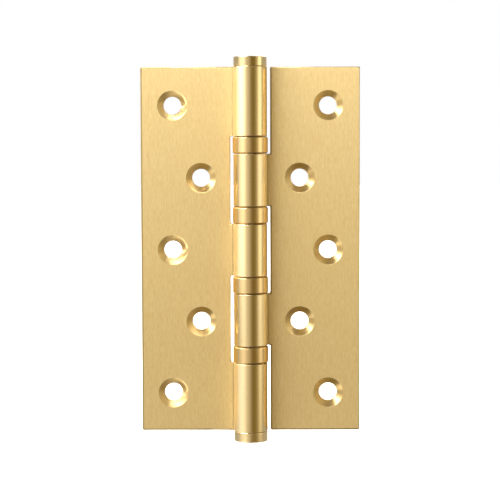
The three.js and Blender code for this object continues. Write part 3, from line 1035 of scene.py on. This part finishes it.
def make_turned_brass(name, base, smooth, spread, belt_and_sheen_side=0, shaded_bevels=False):
    """Turned brass. Roughness goes from smooth up by spread. The belt and sheen side is -1, 1, or 0 for
    none: rougher there, and painted paler as a sheen. Shaded bevels get painted shade on the bearing bevels.
    """
    material, tree, shader, place = new_material(name)
    axes = split_axes(tree, place)
    radius = vector_maths(tree, "LENGTH", join_axes(tree, X=axes["X"], Y=axes["Y"]))
    travelled = maths(tree, "SUBTRACT", axes["Z"], radius)
    rings = use_group(
        tree, turning_rings, Distance=travelled, Spacing=TURNING_SPACING, Vector=place)["Rings"]
    grain = use_group(tree, brushed_grain, Vector=place, **TURNED_GRAIN)["Streaks"]
    marks = blend(tree, RING_SHARE, grain, rings, "FLOAT")
    edge_shade_and_tarnish = use_group(tree, edge_shade_tarnish_and_clouds, Vector=place, Scale=SMALL_PART_CLOUDS)
    colour = tinted(tree, base, BRASS_DEEP, ramp(tree, marks, *STREAK_TONES), 0.3)
    colour = tinted(tree, colour, BRASS_DEEP, edge_shade_and_tarnish["Hollow"], 0.6)
    # Painted shade: the broken edges are darkened in colour, standing for the dark they reflect; their extra
    # roughness below is real.
    colour = tinted(tree, colour, EDGE_SHADE_BRASS, edge_shade_and_tarnish["Edge"], 0.8)
    roughness = maths(tree, "MULTIPLY_ADD", marks, spread, smooth)
    roughness = maths(tree, "MULTIPLY_ADD", edge_shade_and_tarnish["Edge"], EDGE_ROUGHNESS, roughness)
    if shaded_bevels:
        # Painted shade: each bearing ring's bevels are darkened in colour, standing for the shadow in the
        # gap beside them.
        colour = tinted(tree, colour, CORNER_SHADE_BRASS, bearing_bevels(tree, axes["Z"]), 0.8)
    if belt_and_sheen_side:
        belt = ramp(tree, maths(tree, "MULTIPLY", axes["X"], float(belt_and_sheen_side)), *BELT_AND_SHEEN_REACH)
        # Painted sheen: the belt side is paler in colour, standing for its brighter reflection; its higher
        # roughness is real.
        colour = blend(tree, belt, colour, PALE_SHEEN_BRASS)
        roughness = blend(tree, belt, roughness, BELT_ROUGHNESS, "FLOAT")
    connect(tree, shader, colour, roughness, marks, TURNED_RELIEF)
    return material


left_knuckle_brass = make_turned_brass("turned_brass_left_knuckles", BRASS, 0.18, 0.1, belt_and_sheen_side=-1)
right_knuckle_brass = make_turned_brass("turned_brass_right_knuckles", BRASS, 0.18, 0.1, belt_and_sheen_side=1)
bearing_brass = make_turned_brass("bearing_brass", BRASS_RED, 0.18, 0.1, shaded_bevels=True)
bright_brass = make_turned_brass("bright_brass", BRASS, 0.10, 0.08)
satin_brass = make_turned_brass("satin_brass", BRASS, 0.24, 0.1)

# %% [markdown]
# ## Steel
# The pin, races and balls are steel. They hide inside the barrel and show only in section or when the part
# is taken apart, yet they are finished too: a ground pin, ground races and mirror-bright balls.

# %% Steel materials
STEEL = (0.62, 0.62, 0.63, 1)
STEEL_DEEP = (0.52, 0.52, 0.54, 1)
GRINDING_SPACING = 0.06 * MM
GRINDING_RELIEF = 0.001 * MM


def make_steel(name, smooth, spread):
    """Grey steel with fine grinding marks round Z."""
    material, tree, shader, place = new_material(name)
    height = split_axes(tree, place)["Z"]
    rings = use_group(
        tree, turning_rings, Distance=height, Spacing=GRINDING_SPACING, Vector=place)["Rings"]
    cloud = use_group(tree, edge_shade_tarnish_and_clouds, Vector=place, Scale=SMALL_PART_CLOUDS)["Cloud"]
    colour = blend(tree, cloud, STEEL, STEEL_DEEP)
    roughness = maths(tree, "MULTIPLY_ADD", rings, spread, smooth)
    connect(tree, shader, colour, roughness, rings, GRINDING_RELIEF)
    return material


pin_steel = make_steel("ground_steel", 0.22, 0.16)
race_steel = make_steel("race_steel", 0.16, 0.12)
ball_steel = make_steel("ball_steel", 0.05, 0.03)

# %% [markdown]
# ## Hand the finishes out
# A leaf gets two material slots, one for the plate and one for its knuckles. Every face picks its slot
# from the middle of the face: knuckle faces are those nearer the pin than the knuckle's own radius.

# %% Assign the materials
for leaf, knuckle_brass in ((frame_leaf, left_knuckle_brass), (door_leaf, right_knuckle_brass)):
    leaf.data.materials.append(plate_brass)
    leaf.data.materials.append(knuckle_brass)
    middles = read_all(leaf.data.polygons, "center", 3)
    on_knuckle = np.hypot(middles[:, 0], middles[:, 1]) < KNUCKLE_RADIUS
    leaf.data.polygons.foreach_set("material_index", on_knuckle.astype(np.int32))

finishes = [(pin, pin_steel), (top_finial, bright_brass), (bottom_finial, satin_brass)]
for bearing in bearings:
    finishes += [(bearing[part], bearing_brass) for part in ("shell", "ball_cage")]
    finishes += [(bearing[part], race_steel) for part in ("upper_race", "lower_race")]
    finishes += [(ball, ball_steel) for ball in bearing["balls"]]
for piece, finish in finishes:
    piece.data.materials.append(finish)

# %% [markdown]
# ## The studio
# Metal shows its surroundings, so the light is laid out by what each part mirrors. The room itself is a
# warm dark that grows lighter behind the hinge and overhead. Each angle below is in degrees. Azimuth is
# 0 in front of the hinge and 180 behind it, and elevation is 90 overhead.

# %% Room light
WHITE = (1, 1, 1, 1)
DARK_ROOM = (0.225, 0.16, 0.04, 1)
BEHIND = (0.52, 0.50, 0.46, 1)
FLOOR_SHADE = (0.20, 0.16, 0.09, 1)
CEILING = (0.30, 0.26, 0.18, 1)
SIDE_STEP = (70, 104)
DOWN_STEP = (-12, -50)
UP_STEP = (40, 75)


def room_step(tree, colour, next_colour, angle, step):
    """The first colour before the step's start and the next one after its end."""
    return blend(tree, ramp(tree, angle, *np.radians(step)), colour, next_colour)


world = bpy.data.worlds.new("studio")
bpy.context.scene.world = world
world.use_nodes = True
sky = world.node_tree
sky.nodes.clear()
direction = split_axes(sky, add_node(sky, "ShaderNodeTexCoord").outputs["Generated"])
elevation = maths(sky, "ARCSINE", direction["Z"])
forward = maths(sky, "MULTIPLY", direction["Y"], -1.0)
azimuth = maths(sky, "ABSOLUTE", maths(sky, "ARCTAN2", direction["X"], forward))
colour = room_step(sky, DARK_ROOM, BEHIND, azimuth, SIDE_STEP)
colour = room_step(sky, colour, FLOOR_SHADE, elevation, DOWN_STEP)
colour = room_step(sky, colour, CEILING, elevation, UP_STEP)
lit = add_node(sky, "ShaderNodeBackground", {"Color": colour}).outputs[0]
backdrop = add_node(sky, "ShaderNodeBackground", {"Color": WHITE}).outputs[0]
seen = add_node(sky, "ShaderNodeLightPath").outputs["Is Camera Ray"]
mixed = add_node(sky, "ShaderNodeMixShader", {0: seen, 1: lit, 2: backdrop}).outputs[0]
add_node(sky, "ShaderNodeOutputWorld", {"Surface": mixed})

# %% [markdown]
# ## Soft boxes
# A soft box is an upright panel that glows most in its middle and fades to nothing at its rim, as the
# cloth of a real one does. The fade is what keeps the highlights on the barrel soft edged. The glow is
# added to a transparent shader, so where it has faded the room shows through.
#
# A large box on the left gives the barrel its broad highlight and a narrow one on the right gives it a
# thin second one, with the dark room between them. Because both stand at arm's length, the left leaf
# gets more light than the right one. Weak fills beside them lighten the shade. The satin plates spread
# reflections far, so the strongest box is a wide one high on the left, and they are brighter at the top
# than at the bottom. A weaker one low down lights the undersides, and three boxes behind light the back.

# %% Soft boxes
FADE = 0.9


def make_soft_box(name, azimuth, distance, middle_height, width, height, strength, tint):
    """An upright glowing panel that faces the pin. Azimuth, in degrees, is from -Y towards +X."""
    turn = math.radians(azimuth)
    middle = np.array([distance * math.sin(turn), -distance * math.cos(turn), middle_height])
    right = np.array([math.cos(turn), math.sin(turn), 0])
    up = np.array([0, 0, 1])
    side = np.array([-0.5, 0.5])
    points, faces = sheet(middle + right * side[None, :, None] * width + up * side[:, None, None] * height)
    box = add_object(name, add_mesh(name, points, faces))

    material = bpy.data.materials.new(name)
    material.use_nodes = True
    tree = material.node_tree
    tree.nodes.clear()
    place = add_node(tree, "ShaderNodeTexCoord").outputs["Object"]
    offset = vector_maths(tree, "SUBTRACT", place, middle)
    window = strength
    for axis, length in ((right, width), (up, height)):
        off = maths(tree, "ABSOLUTE", vector_maths(tree, "DOT_PRODUCT", offset, axis))
        window = maths(tree, "MULTIPLY", ramp(tree, off, length / 2, length / 2 * (1 - FADE)), window)
    glow = add_node(tree, "ShaderNodeEmission", {"Color": tint, "Strength": window}).outputs[0]
    clear = add_node(tree, "ShaderNodeBsdfTransparent").outputs[0]
    both = add_node(tree, "ShaderNodeAddShader", {0: glow, 1: clear}).outputs[0]
    add_node(tree, "ShaderNodeOutputMaterial", {"Surface": both})
    box.data.materials.append(material)
    box.visible_camera = False


LEFT_WHITE = (1.0, 1.0, 1.02, 1)
RIGHT_WHITE = (1.0, 0.95, 0.82, 1)
# name, azimuth, distance, height of its middle, width, height, strength, tint
soft_boxes = [
    ("left_soft_box", -60, 0.30, 0.07, 0.46, 0.56, 1.3, LEFT_WHITE),
    ("left_fill", -27, 0.32, 0.00, 0.54, 0.80, 0.5, WHITE),
    ("upper_left", -56, 0.60, 0.45, 1.00, 0.46, 38, LEFT_WHITE),
    ("lower_left", -56, 0.60, -0.46, 1.00, 0.48, 7, WHITE),
    ("right_soft_box", 70, 0.30, 0.08, 0.25, 0.66, 1.2, RIGHT_WHITE),
    ("back_soft_box", 172, 0.45, 0.05, 0.22, 0.60, 1.6, WHITE),
    ("upper_back", 170, 0.60, 0.42, 0.80, 0.46, 8, WHITE),
    ("back_fill", -160, 0.45, 0.05, 0.20, 0.60, 0.4, WHITE),
    ("right_fill", 60, 0.32, 0.10, 0.42, 0.80, 0.4, RIGHT_WHITE),
]
for soft_box in soft_boxes:
    make_soft_box(*soft_box)
print("soft boxes:", len(soft_boxes))

# %% [markdown]
# ## Floor
# The hinge stands on its bottom finial on a white table, wide enough to reach past every view. The metal
# doesn't mirror it, and it lets the light of the low soft box through, so the light from below stays as
# laid out above.

# %% Floor
FLOOR_HALF_SIZE = 4.0
FLOOR_GAP = 0.05 * MM
FLOOR_GLOW = 0.93

corner = np.array([-FLOOR_HALF_SIZE, FLOOR_HALF_SIZE])
points, faces = wall(corner[None, :], corner[:, None], cad_low.z - FLOOR_GAP)
floor = add_object("table", add_mesh("table", points, faces))
table_white = bpy.data.materials.new("table_white")
table_white.use_nodes = True
shader = table_white.node_tree.nodes["Principled BSDF"]
shader.inputs["Base Color"].default_value = (0.9, 0.9, 0.9, 1)
shader.inputs["Roughness"].default_value = 1.0
shader.inputs["Specular IOR Level"].default_value = 0.0
shader.inputs["Emission Color"].default_value = WHITE
shader.inputs["Emission Strength"].default_value = FLOOR_GLOW
floor.data.materials.append(table_white)
floor.visible_glossy = False
floor.visible_shadow = False
print("floor at, mm:", round((cad_low.z - FLOOR_GAP) / MM, 2))

# %% [markdown]
# ## Camera
# A long lens from half a metre away, level with the pin and a little above its middle, shows both leaves
# face on with little perspective.

# %% Camera
CAMERA_DISTANCE = 0.5517
CAMERA_ELEVATION = math.radians(3.63)
CAMERA_ROLL = math.radians(0.158)
CAMERA_LENS = 114
SENSOR_WIDTH = 36
AIM = np.array([-0.08, 0, -0.05]) * MM

camera_data = bpy.data.cameras.new("camera")
camera_data.lens = CAMERA_LENS
camera_data.sensor_width = SENSOR_WIDTH
camera = bpy.data.objects.new("camera", camera_data)
bpy.context.scene.collection.objects.link(camera)
offset = CAMERA_DISTANCE * np.array([0, -math.cos(CAMERA_ELEVATION), math.sin(CAMERA_ELEVATION)])
camera.location = AIM + offset
camera.rotation_euler = (math.pi / 2 - CAMERA_ELEVATION, CAMERA_ROLL, 0)
bpy.context.scene.camera = camera
bpy.context.scene.view_settings.view_transform = "Standard"
print("camera at", [round(value, 4) for value in camera.location])
